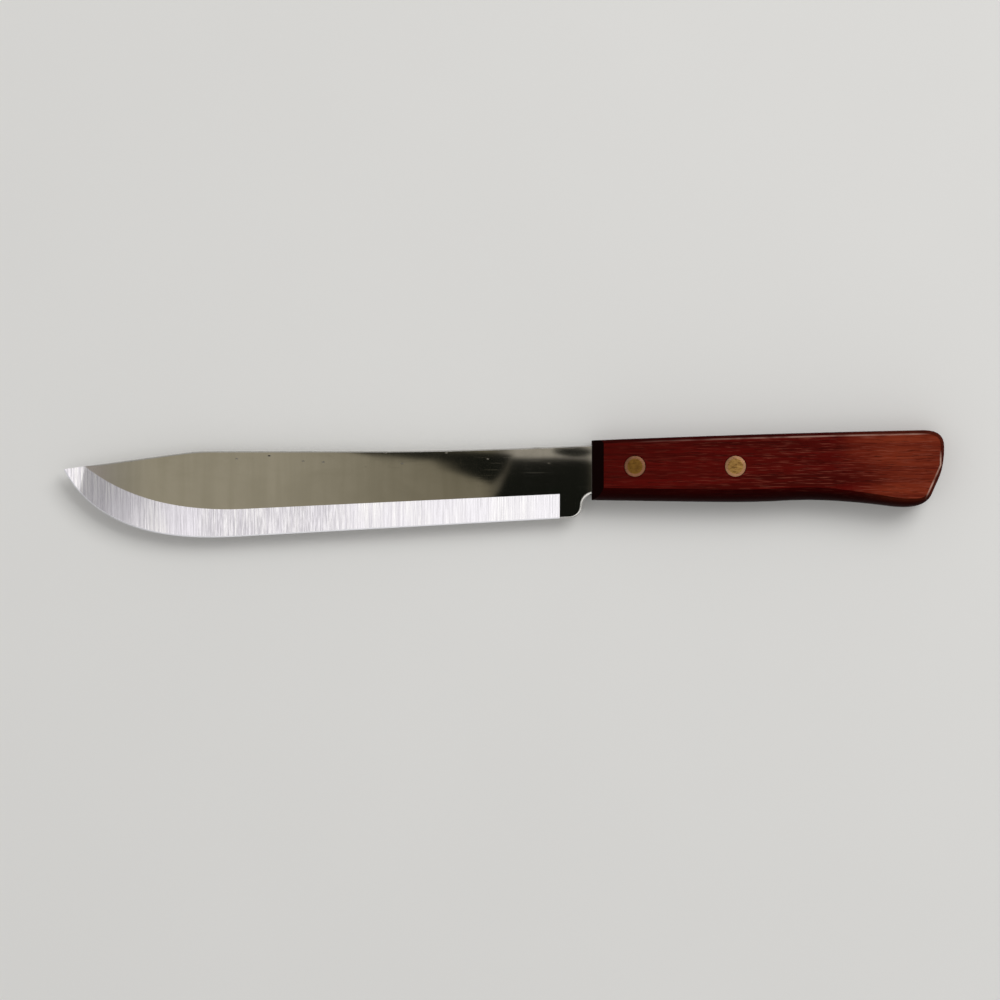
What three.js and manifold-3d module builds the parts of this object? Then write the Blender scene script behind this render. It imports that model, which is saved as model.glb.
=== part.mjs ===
// A butcher knife lying on its side. One stamped steel blade runs back into a half tang, two
// wooden scales are rebated to close around that tang, and two cutler's rivets draw the scales
// together. Each rivet is a headed pin pressed into a headed sleeve from the other side.
// Millimetres. +X runs from the tip to the butt, +Y from the cutting edge to the spine, and +Z
// up from the surface that the knife lies on. The origin is under the middle of the knife.

import * as THREE from 'three';
import { mergeVertices } from 'three/addons/utils/BufferGeometryUtils.js';
import Module from 'manifold-3d';

// Blade. Depths are measured down from the straight part of the spine.
const BLADE_LENGTH = 201.2; // from the tip to the front of the handle
const BLADE_THICKNESS = 1.8;
const EDGE_THICKNESS = 0.2;
const TIP_DEPTH = 6.9;
const CLIP_LENGTH = 50.8; // from the tip back to where the straight spine starts
const SPINE_SWEEP_LENGTH = 85; // the last stretch of spine, which climbs to the handle
const SPINE_RISE = 2.3;
const SPINE_SLOPE = 0.047; // climb of the spine where it meets the handle
const BELLY_FROM_TIP = 69.2; // where the straight edge turns into the belly
const BELLY_DEPTH = 32.4;
const BELLY_PULL = 16; // how far the belly keeps to the straight edge's direction
const TIP_ANGLE = 62; // degrees between the spine's direction and the edge at the tip
const TIP_PULL = 33; // how far the edge keeps to that angle behind the tip
const HEEL_DEPTH = 25.4;
const HEEL_RADIUS = 4.6; // rounded lower corner of the heel
const CHOIL_RADIUS = 4.4; // hollow between the heel and the handle
const CHOIL_OVERRUN = 0.9; // how far that hollow runs on under the scales

// Ground bevel on both sides of the blade.
const BEVEL_STOP = 12.2; // bare steel between the bevel and the handle
const BEVEL_HEEL_HEIGHT = 9.3;
const BEVEL_BELLY_HEIGHT = 10.4;
const BEVEL_PULL = 33; // how far the grind line keeps straight past the belly's start
const BEVEL_END_FROM_TIP = 8.2; // where the grind line runs out over the spine
const BEVEL_END_DEPTH = 5.5;
const BEVEL_END_ANGLE = 38;
const BEVEL_END_PULL = 13;

// Handle. Each scale fills half of the thickness.
const HANDLE_LENGTH = 133.6;
const HANDLE_THICKNESS = 16;
const HANDLE_STEP = 1.7; // height of the handle's top above the spine
const HANDLE_RISE = 3.9; // climb of the top edge from the front to the butt
const HANDLE_CROWN = 0.7; // bulge of the top edge's curve
const FRONT_DEPTH = 18.7;
const SWELL_SETBACK = 55; // fullest point of the grip
const SWELL_DEPTH = 19.4;
const WAIST_FROM_BUTT = 51.3; // narrowest point, ahead of the hooked butt
const WAIST_DEPTH = 18.6;
const FLARE_FROM_BUTT = 33.3;
const FLARE_DEPTH = 19.5;
const HOOK_FROM_BUTT = 17.8;
const HOOK_DEPTH = 21.2;
const HOOK_CORNER_DEPTH = 22;
const SLANT_ANGLE = 24; // degrees that the butt leans forward towards the hook
const SLANT_START_DEPTH = 5.7; // where the leaning butt would meet the rearmost point
const SLANT_END_DEPTH = 16.5;
const SLANT_BLEND = 5.2; // length of the turn into the leaning butt
const BUTT_CORNER_LENGTH = 8.2; // rounded upper corner of the butt
const BUTT_CORNER_DROP = 6.4;
const BUTT_CORNER_PULL = 5; // how far both ends of that corner keep to their directions

// Worked edges of the scales: width seen from the side, and depth into the thickness.
const LOWER_ROUND = { width: 4.8, depth: 5 };
const HOOK_ROUND = { width: 3.4, depth: 3.8 };
const BUTT_ROUND = { width: 1.5, depth: 1.7 };
const UPPER_ROUND = { width: 1.3, depth: 1.5 };
const NARROWING_FROM_BUTT = 47.6; // where the lower edge starts to narrow towards the hook
const ROUND_SWEEP = 65; // degrees of arc in a worked edge, which leaves a crease on the side
const FRONT_CHAMFER = { length: 4.4, depth: 4 };

// Rivets.
const RIVET_SETBACK = 16.2; // front rivet, from the front of the handle
const RIVET_SPACING = 38.1;
const RIVET_DEPTH = 5.85;
const HEAD_DIAMETER = 7.94;
const HEAD_THICKNESS = 1.6;
const HEAD_RIM_WIDTH = 1.25;
const HEAD_RIM_DROP = 0.15;
const PIN_DIAMETER = 3.2;
const SLEEVE_WALL = 0.75;

// Tang, and the clearances between pieces.
const TANG_PAST_RIVET = 13.5;
const TANG_END_RADIUS = 5;
const TANG_RECESS = 0.65; // depth of the tang's rear corner below the handle's top
const TANG_FIT = 0.3;
const HEAD_FIT = 0.15;
const PIN_FIT = 0.15;
const SLEEVE_FIT = 0.2;
const RIVET_END_GAP = 0.5;

// Fineness of the facets, and how far a cutting shape reaches past what it cuts.
const CURVE_STEPS = 10;
const ROUND_STEPS = 5;
const TURNED_SIDES = 36;
const OVERCUT = 1;
const MERGE_DISTANCE = 1e-5;

const radians = THREE.MathUtils.degToRad;
const at = (x, y) => new THREE.Vector2(x, y);

const scaleThickness = HANDLE_THICKNESS / 2;
const tangHalf = BLADE_THICKNESS / 2;
const tangEnd = RIVET_SETBACK + RIVET_SPACING + TANG_PAST_RIVET;
const tangBottom = HEEL_RADIUS + CHOIL_RADIUS - HEEL_DEPTH;
const rivetCentres = [at(RIVET_SETBACK, -RIVET_DEPTH), at(RIVET_SETBACK + RIVET_SPACING, -RIVET_DEPTH)];
const pinRadius = PIN_DIAMETER / 2;
const boreRadius = pinRadius + PIN_FIT;
const sleeveRadius = boreRadius + SLEEVE_WALL;
const headRadius = HEAD_DIAMETER / 2;

const wasm = await Module();
wasm.setup();

// A closed three.js geometry as a solid that can be cut.
function solid(geometry) {
  const bare = geometry.clone();
  bare.deleteAttribute('normal');
  bare.deleteAttribute('uv');
  const merged = mergeVertices(bare, MERGE_DISTANCE);
  const vertProperties = new Float32Array(merged.attributes.position.array);
  const triVerts = new Uint32Array(merged.index.array);
  return new wasm.Manifold(new wasm.Mesh({ numProp: 3, vertProperties, triVerts }));
}

function geometryOf(body) {
  const { vertProperties, triVerts } = body.getMesh();
  const geometry = new THREE.BufferGeometry();
  geometry.setAttribute('position', new THREE.BufferAttribute(vertProperties, 3));
  geometry.setIndex(new THREE.BufferAttribute(triVerts, 1));
  return geometry;
}

// A closed skin over rings of equal count. Each ring runs anticlockwise seen from the last ring,
// and the cap triangles close the first and the last ring.
function skin(rings, firstCap, lastCap) {
  const count = rings[0].length;
  const lastStart = (rings.length - 1) * count;
  const index = [];
  for (const [a, b, c] of firstCap) index.push(a, c, b);
  for (const [a, b, c] of lastCap) index.push(lastStart + a, lastStart + b, lastStart + c);
  for (let ring = 0; ring < rings.length - 1; ring += 1) {
    for (let i = 0; i < count; i += 1) {
      const here = ring * count + i;
      const next = ring * count + ((i + 1) % count);
      index.push(here, next, next + count, here, next + count, here + count);
    }
  }
  const geometry = new THREE.BufferGeometry().setFromPoints(rings.flat());
  geometry.setIndex(index);
  return geometry;
}

// The straight edge, from the heel's corner to the start of the belly.
const heelBack = CHOIL_OVERRUN - CHOIL_RADIUS;
const heelLow = at(heelBack - HEEL_RADIUS, -HEEL_DEPTH);
const tip = at(-BLADE_LENGTH, -TIP_DEPTH);
const bellyStart = at(BELLY_FROM_TIP - BLADE_LENGTH, -BELLY_DEPTH);
const edgeDirection = bellyStart.clone().sub(heelLow).normalize();

function edgeAt(x) {
  const along = (x - heelLow.x) / (bellyStart.x - heelLow.x);
  return heelLow.clone().lerp(bellyStart, along);
}

// The curved edge, from the start of the belly round to the tip.
function bellyCurve() {
  const angle = radians(TIP_ANGLE);
  const behindTip = at(Math.cos(angle), -Math.sin(angle)).multiplyScalar(TIP_PULL).add(tip);
  const pastBelly = edgeDirection.clone().multiplyScalar(BELLY_PULL).add(bellyStart);
  return new THREE.CubicBezierCurve(bellyStart, pastBelly, behindTip, tip);
}

// The grind line over the same stretch, where the bevel meets the flat of the blade.
const grindHeel = edgeAt(-BEVEL_STOP).add(at(0, BEVEL_HEEL_HEIGHT));
const grindBelly = bellyStart.clone().add(at(0, BEVEL_BELLY_HEIGHT));

function grindCurve() {
  const end = at(BEVEL_END_FROM_TIP - BLADE_LENGTH, -BEVEL_END_DEPTH);
  const angle = radians(BEVEL_END_ANGLE);
  const behindEnd = at(Math.cos(angle), -Math.sin(angle)).multiplyScalar(BEVEL_END_PULL).add(end);
  const direction = grindBelly.clone().sub(grindHeel).normalize();
  const pastBelly = direction.multiplyScalar(BEVEL_PULL).add(grindBelly);
  return new THREE.CubicBezierCurve(grindBelly, pastBelly, behindEnd, end);
}

// The handle's top edge, which the tang's top edge follows.
const topFront = at(0, SPINE_RISE + HANDLE_STEP);
const topRear = at(HANDLE_LENGTH - BUTT_CORNER_LENGTH, topFront.y + HANDLE_RISE);
const topMiddle = topFront.clone().lerp(topRear, 0.5).add(at(0, HANDLE_CROWN));

function handleTopAt(x) {
  const top = new THREE.QuadraticBezierCurve(topFront, topMiddle, topRear);
  return top.getPoint(x / topRear.x).y;
}

// Outline of the stamped blank, from the tip along the spine and tang and back along the edge.
function blankOutline() {
  const tangTop = handleTopAt(tangEnd) - TANG_RECESS;
  const heelCentre = at(heelLow.x, heelLow.y + HEEL_RADIUS);
  const choilCentre = at(CHOIL_OVERRUN, heelCentre.y);
  const belly = bellyCurve();
  const blank = new THREE.Shape();
  blank.moveTo(tip.x, tip.y);
  blank.lineTo(tip.x + CLIP_LENGTH, 0);
  blank.lineTo(-SPINE_SWEEP_LENGTH, 0);
  blank.quadraticCurveTo(-SPINE_RISE / SPINE_SLOPE, 0, 0, SPINE_RISE);
  blank.lineTo(tangEnd, tangTop);
  blank.lineTo(tangEnd, tangBottom + TANG_END_RADIUS);
  blank.quadraticCurveTo(tangEnd, tangBottom, tangEnd - TANG_END_RADIUS, tangBottom);
  blank.lineTo(choilCentre.x, tangBottom);
  blank.absarc(choilCentre.x, choilCentre.y, CHOIL_RADIUS, Math.PI / 2, Math.PI, false);
  blank.absarc(heelCentre.x, heelCentre.y, HEEL_RADIUS, 0, -Math.PI / 2, true);
  blank.lineTo(belly.v0.x, belly.v0.y);
  blank.bezierCurveTo(belly.v1.x, belly.v1.y, belly.v2.x, belly.v2.y, belly.v3.x, belly.v3.y);
  return blank;
}

// One section of the steel ground away: a triangle over the bevel between a point of the grind
// line and a point of the edge, on the upper side of the blade.
function bevelSection(grind, edge) {
  const run = edge.clone().sub(grind);
  const fall = (BLADE_THICKNESS - EDGE_THICKNESS) / 2 / run.length();
  const reach = run.normalize().multiplyScalar(OVERCUT);
  const inner = grind.clone().sub(reach);
  const outer = edge.clone().add(reach);
  return [
    new THREE.Vector3(inner.x, inner.y, tangHalf + fall * OVERCUT),
    new THREE.Vector3(outer.x, outer.y, EDGE_THICKNESS / 2 - fall * OVERCUT),
    new THREE.Vector3(outer.x, outer.y, tangHalf + OVERCUT)
  ];
}

function bevelCutter() {
  const steps = 2 * CURVE_STEPS;
  const grindPoints = [grindHeel, ...grindCurve().getSpacedPoints(steps)];
  const edgePoints = [edgeAt(-BEVEL_STOP), ...bellyCurve().getSpacedPoints(steps)];
  const rings = grindPoints.map((grind, i) => bevelSection(grind, edgePoints[i]));
  const lastGrind = grindPoints.at(-1);
  const along = lastGrind.clone().sub(tip).normalize();
  const past = new THREE.Vector3(-along.y, along.x, 0).multiplyScalar(OVERCUT);
  rings.push(rings.at(-1).map((corner) => corner.clone().add(past)));
  return skin(rings, [[0, 1, 2]], [[0, 1, 2]]);
}

function turnedRound(radius, height, centre, middle) {
  const round = new THREE.CylinderGeometry(radius, radius, height, TURNED_SIDES);
  round.rotateX(Math.PI / 2);
  return round.translate(centre.x, centre.y, middle);
}

function rivetHoles() {
  const radius = sleeveRadius + SLEEVE_FIT;
  return rivetCentres.map((centre) => solid(turnedRound(radius, HANDLE_THICKNESS, centre, 0)));
}

function bladeGeometry() {
  const options = { depth: BLADE_THICKNESS, bevelEnabled: false, curveSegments: 2 * CURVE_STEPS };
  const blank = new THREE.ExtrudeGeometry(blankOutline(), options).translate(0, 0, -tangHalf);
  const cutter = solid(bevelCutter());
  let blade = solid(blank).subtract(cutter).subtract(cutter.mirror([0, 0, 1]));
  for (const hole of rivetHoles()) blade = blade.subtract(hole);
  return geometryOf(blade);
}

// Width and depth of the worked lower edge, which narrows towards the hook and then round it.
function lowerRound(x, hook, slantLow) {
  const narrowing = HANDLE_LENGTH - NARROWING_FROM_BUTT;
  const before = Math.max(0, (x - narrowing) / (hook.x - narrowing));
  if (before < 1) return blendRounds(LOWER_ROUND, HOOK_ROUND, before);
  const past = (x - hook.x) / (slantLow.x - hook.x);
  return blendRounds(HOOK_ROUND, BUTT_ROUND, past * past);
}

function blendRounds(from, to, share) {
  const { lerp } = THREE.MathUtils;
  return { width: lerp(from.width, to.width, share), depth: lerp(from.depth, to.depth, share) };
}

// The scale's outline from the lower front corner round the butt to the upper front corner, each
// point with the worked edge that it gets.
function scaleOutline() {
  const slant = Math.tan(radians(SLANT_ANGLE));
  const slantAt = (depth) => at(HANDLE_LENGTH - (depth - SLANT_START_DEPTH) * slant, -depth);
  const fromButt = (length, depth) => at(HANDLE_LENGTH - length, -depth);
  const hook = fromButt(HOOK_FROM_BUTT, HOOK_DEPTH);
  const hookCorner = slantAt(HOOK_CORNER_DEPTH);
  const slantLow = slantAt(SLANT_END_DEPTH);
  const slantHigh = slantAt(SLANT_START_DEPTH + SLANT_BLEND * Math.cos(radians(SLANT_ANGLE)));
  const slantCorner = slantAt(SLANT_START_DEPTH);
  const rearmost = at(HANDLE_LENGTH, topRear.y - BUTT_CORNER_DROP);

  const underside = new THREE.Path();
  underside.moveTo(0, -FRONT_DEPTH);
  underside.splineThru([
    at(SWELL_SETBACK, -SWELL_DEPTH),
    fromButt(WAIST_FROM_BUTT, WAIST_DEPTH),
    fromButt(FLARE_FROM_BUTT, FLARE_DEPTH),
    hook
  ]);
  underside.quadraticCurveTo(hookCorner.x, hookCorner.y, slantLow.x, slantLow.y);

  const butt = new THREE.Path();
  butt.moveTo(slantLow.x, slantLow.y);
  butt.lineTo(slantHigh.x, slantHigh.y);
  butt.quadraticCurveTo(slantCorner.x, slantCorner.y, rearmost.x, rearmost.y);
  butt.bezierCurveTo(
    rearmost.x, rearmost.y + BUTT_CORNER_PULL,
    topRear.x + BUTT_CORNER_PULL, topRear.y,
    topRear.x, topRear.y
  );

  const top = new THREE.Path();
  top.moveTo(topRear.x, topRear.y);
  top.quadraticCurveTo(topMiddle.x, topMiddle.y, topFront.x, topFront.y);

  const lower = underside.getPoints(CURVE_STEPS).map((p) => (
    { p, round: lowerRound(p.x, hook, slantLow) }
  ));
  const rear = butt.getPoints(CURVE_STEPS).slice(1).map((p) => ({ p, round: BUTT_ROUND }));
  const upper = top.getPoints(CURVE_STEPS).slice(1).map((p) => (
    { p, round: blendRounds(UPPER_ROUND, BUTT_ROUND, p.x / topRear.x) }
  ));
  return [...lower, ...rear, ...upper];
}

// Direction into the wood, square to the outline. The front ends keep to the flat front.
function inwardAt(outline, i) {
  if (i === 0) return at(0, 1);
  if (i === outline.length - 1) return at(0, -1);
  const along = outline[i + 1].p.clone().sub(outline[i - 1].p).normalize();
  return at(-along.y, along.x);
}

// One scale before its cuts: flat on the mid-plane, with worked edges round its outer side.
function scaleBlank() {
  const outline = scaleOutline();
  const inward = outline.map((_, i) => inwardAt(outline, i));
  const ringAt = (inset, heightOf) => outline.map(({ p, round }, i) => {
    const q = inward[i].clone().multiplyScalar(inset * round.width).add(p);
    return new THREE.Vector3(q.x, q.y, heightOf(round));
  });
  const rings = [ringAt(0, () => 0)];
  const sweep = radians(ROUND_SWEEP);
  for (let step = 0; step <= ROUND_STEPS; step += 1) {
    const turn = (sweep * step) / ROUND_STEPS;
    const inset = (1 - Math.cos(turn)) / (1 - Math.cos(sweep));
    const rise = Math.sin(turn) / Math.sin(sweep);
    rings.push(ringAt(inset, (round) => scaleThickness - round.depth * (1 - rise)));
  }
  const capOf = (ring) => THREE.ShapeUtils.triangulateShape(ring.map((v) => at(v.x, v.y)), []);
  return skin(rings, capOf(rings[0]), capOf(rings.at(-1)));
}

// The wedge that leaves a flat chamfer across the front of a scale.
function frontChamferCutter() {
  const slope = FRONT_CHAMFER.depth / FRONT_CHAMFER.length;
  const low = scaleThickness - FRONT_CHAMFER.depth - OVERCUT * slope;
  const high = scaleThickness + OVERCUT * slope;
  const wedge = new THREE.Shape([
    at(-OVERCUT, low),
    at(FRONT_CHAMFER.length + OVERCUT, high),
    at(-OVERCUT, high)
  ]);
  const breadth = HOOK_CORNER_DEPTH + topRear.y;
  const cutter = new THREE.ExtrudeGeometry(wedge, { depth: breadth, bevelEnabled: false });
  return cutter.rotateX(Math.PI / 2).translate(0, topRear.y, 0);
}

// The rebate for half of the tang's thickness, open at the front and along the top.
function tangRebate() {
  const length = OVERCUT + tangEnd + TANG_FIT;
  const bottom = tangBottom - TANG_FIT;
  const top = topRear.y + OVERCUT;
  const depth = OVERCUT + tangHalf;
  const rebate = new THREE.BoxGeometry(length, top - bottom, depth);
  return rebate.translate(length / 2 - OVERCUT, (top + bottom) / 2, depth / 2 - OVERCUT);
}

function scaleGeometry() {
  const seatDepth = HEAD_THICKNESS + OVERCUT;
  const seatMiddle = scaleThickness - HEAD_THICKNESS + seatDepth / 2;
  let scale = solid(scaleBlank()).subtract(solid(frontChamferCutter())).subtract(solid(tangRebate()));
  for (const hole of rivetHoles()) scale = scale.subtract(hole);
  for (const centre of rivetCentres) {
    const seat = turnedRound(headRadius + HEAD_FIT, seatDepth, centre, seatMiddle);
    scale = scale.subtract(solid(seat));
  }
  return geometryOf(scale);
}

// A turned rivet half. The profile gives radius and height, from the axis back to the axis.
function turned(profile) {
  const points = profile.map(([radius, height]) => at(radius, height));
  return new THREE.LatheGeometry(points, TURNED_SIDES).rotateX(Math.PI / 2);
}

const headSeat = scaleThickness - HEAD_THICKNESS;

function rivetPinGeometry() {
  return turned([
    [0, RIVET_END_GAP - headSeat],
    [pinRadius, RIVET_END_GAP - headSeat],
    [pinRadius, headSeat],
    [headRadius, headSeat],
    [headRadius, scaleThickness - HEAD_RIM_DROP],
    [headRadius - HEAD_RIM_WIDTH, scaleThickness],
    [0, scaleThickness]
  ]);
}

function rivetSleeveGeometry() {
  return turned([
    [0, -scaleThickness],
    [headRadius - HEAD_RIM_WIDTH, -scaleThickness],
    [headRadius, HEAD_RIM_DROP - scaleThickness],
    [headRadius, -headSeat],
    [sleeveRadius, -headSeat],
    [sleeveRadius, headSeat - RIVET_END_GAP],
    [boreRadius, headSeat - RIVET_END_GAP],
    [boreRadius, -headSeat],
    [0, -headSeat]
  ]);
}

const steel = new THREE.MeshStandardMaterial({ color: 0xb9b6ad, roughness: 0.2, metalness: 1 });
const rosewood = new THREE.MeshStandardMaterial({ color: 0x4a1712, roughness: 0.45, metalness: 0 });
const brass = new THREE.MeshStandardMaterial({ color: 0x9c7a3c, roughness: 0.35, metalness: 1 });

const assembly = new THREE.Group();

function place(name, geometry, material) {
  const mesh = new THREE.Mesh(geometry, material);
  mesh.name = name;
  assembly.add(mesh);
  return mesh;
}

place('blade', bladeGeometry(), steel);
place('left_scale', scaleGeometry(), rosewood);
place('right_scale', scaleGeometry(), rosewood).scale.z = -1;
['front', 'rear'].forEach((end, i) => {
  const { x, y } = rivetCentres[i];
  place(`${end}_rivet_pin`, rivetPinGeometry(), brass).position.set(x, y, 0);
  place(`${end}_rivet_sleeve`, rivetSleeveGeometry(), brass).position.set(x, y, 0);
});

// Move the origin under the middle of the knife, on the surface that it lies on.
const box = new THREE.Box3().setFromObject(assembly, true);
const middle = box.getCenter(new THREE.Vector3());
assembly.position.set(-middle.x, -middle.y, -box.min.z);

const knife = new THREE.Group();
knife.add(assembly);

export default knife;
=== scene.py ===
"""A butcher knife on its side: polished blade with a ground bevel, red wooden scales and brass rivets.

Metres, in the frame's own coordinates. Shapes are drawn in knife coordinates: x runs back from the front of
the handle, y up from the straight part of the spine, and z out from the middle of the blade's thickness.
"""
import math

import bmesh
import bpy
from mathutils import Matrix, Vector
from mathutils.geometry import tessellate_polygon


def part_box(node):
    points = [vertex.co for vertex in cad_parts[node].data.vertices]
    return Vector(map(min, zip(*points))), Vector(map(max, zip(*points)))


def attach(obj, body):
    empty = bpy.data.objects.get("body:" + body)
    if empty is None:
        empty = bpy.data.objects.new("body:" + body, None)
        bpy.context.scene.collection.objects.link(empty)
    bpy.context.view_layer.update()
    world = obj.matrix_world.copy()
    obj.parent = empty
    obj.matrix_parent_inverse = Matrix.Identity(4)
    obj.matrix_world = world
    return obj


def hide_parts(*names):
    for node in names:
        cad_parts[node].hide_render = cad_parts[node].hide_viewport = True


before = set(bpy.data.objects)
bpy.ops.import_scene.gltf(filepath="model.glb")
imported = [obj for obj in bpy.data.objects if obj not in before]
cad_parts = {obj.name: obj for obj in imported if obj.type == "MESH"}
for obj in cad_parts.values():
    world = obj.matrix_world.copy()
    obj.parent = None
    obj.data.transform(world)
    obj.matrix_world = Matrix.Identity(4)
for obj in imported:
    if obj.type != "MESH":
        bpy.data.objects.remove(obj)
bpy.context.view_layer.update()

MM = 0.001

# Blade
BLADE_LENGTH = 201.2 * MM
BLADE_THICKNESS = 1.8 * MM
EDGE_THICKNESS = 0.1 * MM
TIP_DEPTH = 6.9 * MM
CLIP_LENGTH = 50.8 * MM
CLIP_CORNER_BLEND = 6 * MM
SPINE_SWEEP_LENGTH = 85 * MM
SPINE_RISE = 2.3 * MM
SPINE_SLOPE = 0.047  # climb of the spine where it meets the handle
BELLY_FROM_TIP = 69.2 * MM
BELLY_DEPTH = 32.4 * MM
BELLY_PULL = 16 * MM
TIP_ANGLE = math.radians(62)
TIP_PULL = 33 * MM
HEEL_DEPTH = 25.4 * MM
HEEL_RADIUS = 4.6 * MM
CHOIL_RADIUS = 4.4 * MM
CHOIL_OVERRUN = 0.9 * MM
BEVEL_STOP = 12.2 * MM
BEVEL_HEEL_HEIGHT = 9.3 * MM
BEVEL_BELLY_HEIGHT = 10.4 * MM
BEVEL_PULL = 33 * MM
BEVEL_END_FROM_TIP = 8.2 * MM
BEVEL_END_ANGLE = math.radians(38)
BEVEL_END_PULL = 13 * MM
HONED_WIDTH = 0.45 * MM  # the sharpened strip along the edge
HONED_RISE = 0.065 * MM
SPINE_ROUND = (0.5 * MM, 0.5 * MM)  # width seen from the side, depth into the thickness
CHOIL_ROUND = (1.0 * MM, 0.22 * MM)
POINT_START = 0.86  # share of the belly's length at which the point's facet starts
POINT_FULLNESS = 0.1 * MM  # how much fuller each side of the edge is there
POINT_RAMP = 13 * MM

# Handle
HANDLE_LENGTH = 133.6 * MM
HANDLE_THICKNESS = 16 * MM
HANDLE_STEP = 1.7 * MM
HANDLE_RISE = 3.9 * MM
HANDLE_CROWN = 0.7 * MM
FRONT_DEPTH = 18.7 * MM
SWELL_SETBACK = 55 * MM
SWELL_DEPTH = 19.4 * MM
WAIST_FROM_BUTT = 51.3 * MM
WAIST_DEPTH = 18.6 * MM
FLARE_FROM_BUTT = 33.3 * MM
FLARE_DEPTH = 19.5 * MM
HOOK_FROM_BUTT = 17.8 * MM
HOOK_DEPTH = 21.2 * MM
HOOK_CORNER_DEPTH = 22 * MM
SLANT_ANGLE = math.radians(24)
SLANT_START_DEPTH = 5.7 * MM
SLANT_END_DEPTH = 16.5 * MM
SLANT_BLEND = 5.2 * MM
BUTT_CORNER_LENGTH = 8.2 * MM
BUTT_CORNER_DROP = 6.4 * MM
BUTT_CORNER_PULL = 5 * MM
LOWER_ROUND = (4.8 * MM, 5 * MM)  # width and depth again, as on the three below
HOOK_ROUND = (3.4 * MM, 3.8 * MM)
BUTT_ROUND = (1.5 * MM, 1.7 * MM)
UPPER_ROUND = (1.3 * MM, 1.5 * MM)
NARROWING_FROM_BUTT = 47.6 * MM  # where the lower edge starts to narrow towards the hook
ROUND_SWEEP = math.radians(65)
CHAMFER_LENGTH = 4.4 * MM
CHAMFER_DEPTH = 4 * MM
SEAM_EASE = 0.16 * MM  # how far the scales are eased where they meet

# Rivets, tang and clearances
RIVET_SETBACK = 16.2 * MM
RIVET_SPACING = 38.1 * MM
RIVET_DEPTH = 5.85 * MM
HEAD_RADIUS = 3.97 * MM
HEAD_THICKNESS = 1.6 * MM
HEAD_RIM_WIDTH = 1.25 * MM
HEAD_RIM_DROP = 0.15 * MM
HEAD_EDGE = 0.06 * MM
PIN_RADIUS = 1.6 * MM
SLEEVE_WALL = 0.75 * MM
TANG_PAST_RIVET = 13.5 * MM
TANG_END_RADIUS = 5 * MM
TANG_RECESS = 0.65 * MM
TANG_FIT = 0.3 * MM
HEAD_FIT = 0.15 * MM
PIN_FIT = 0.15 * MM
SLEEVE_FIT = 0.2 * MM
RIVET_END_GAP = 0.5 * MM

# Mesh fineness, and how far a cutting shape reaches past what it cuts
CURVE_STEPS = 40
FINE_STEPS = 320  # on a curve that is set out again in even steps
ROUND_STEPS = 6
TURNED_SIDES = 96
OVERCUT = 1 * MM
MERGE_DISTANCE = 1e-7

# A turn sharper than this shows as a crease
BLADE_CREASE = math.radians(40)
WOOD_CREASE = math.radians(16)
RIVET_CREASE = math.radians(30)


def at(x, y):
    return Vector((x, y))


HALF = BLADE_THICKNESS / 2
SCALE = HANDLE_THICKNESS / 2
TOP_FRONT = at(0, SPINE_RISE + HANDLE_STEP)
TOP_REAR = at(HANDLE_LENGTH - BUTT_CORNER_LENGTH, TOP_FRONT.y + HANDLE_RISE)
TOP_MIDDLE = TOP_FRONT.lerp(TOP_REAR, 0.5) + at(0, HANDLE_CROWN)
TANG_END = RIVET_SETBACK + RIVET_SPACING + TANG_PAST_RIVET
TANG_BOTTOM = HEEL_RADIUS + CHOIL_RADIUS - HEEL_DEPTH
RIVETS = [at(RIVET_SETBACK, -RIVET_DEPTH), at(RIVET_SETBACK + RIVET_SPACING, -RIVET_DEPTH)]
BORE_RADIUS = PIN_RADIUS + PIN_FIT
SLEEVE_RADIUS = BORE_RADIUS + SLEEVE_WALL
HEAD_SEAT = SCALE - HEAD_THICKNESS

# Where knife coordinates lie in the frame
SCALE_LOW, SCALE_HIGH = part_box("left_scale")
ORIGIN = Vector((SCALE_LOW.x, SCALE_HIGH.y - TOP_REAR.y, SCALE_LOW.z))


# Curves

def bezier(controls, steps):
    def point(t):
        row = controls
        while len(row) > 1:
            row = [a.lerp(b, t) for a, b in zip(row, row[1:])]
        return row[0]

    return [point(i / steps) for i in range(steps + 1)]


def spaced(points, steps, start=0.0, end=1.0):
    """Points at even distances along a run, between two shares of its length."""
    lengths = [0.0]
    for a, b in zip(points, points[1:]):
        lengths.append(lengths[-1] + (b - a).length)
    made = []
    i = 0
    for step in range(steps + 1):
        distance = lengths[-1] * (start + (end - start) * step / steps)
        while i < len(points) - 2 and lengths[i + 1] < distance:
            i += 1
        made.append(points[i].lerp(points[i + 1], (distance - lengths[i]) / (lengths[i + 1] - lengths[i])))
    return made


def arc(centre, radius, start, end, steps):
    turns = [start + (end - start) * i / steps for i in range(steps + 1)]
    return [centre + radius * at(math.cos(a), math.sin(a)) for a in turns]


def spline(points, steps):
    """A smooth curve through every point, with its ends eased."""
    made = [points[0]]
    for i in range(len(points) - 1):
        p1, p2 = points[i], points[i + 1]
        t1 = (p2 - points[max(i - 1, 0)]) / 2
        t2 = (points[min(i + 2, len(points) - 1)] - p1) / 2
        for step in range(1, steps + 1):
            t = step / steps
            held = (2 * t**3 - 3 * t**2 + 1) * p1 + (3 * t**2 - 2 * t**3) * p2
            made.append(held + (t**3 - 2 * t**2 + t) * t1 + (t**3 - t**2) * t2)
    return made


def join(*runs):
    """One list of points from runs that share their end points."""
    points = list(runs[0])
    for run in runs[1:]:
        points.extend(run[1:])
    return points


def inward_normals(points, turn=1):
    """Unit vectors square to an open run of points, to its left where turn is 1."""
    normals = []
    for i in range(len(points)):
        along = (points[min(i + 1, len(points) - 1)] - points[max(i - 1, 0)]).normalized()
        normals.append(turn * at(-along.y, along.x))
    return normals


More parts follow.
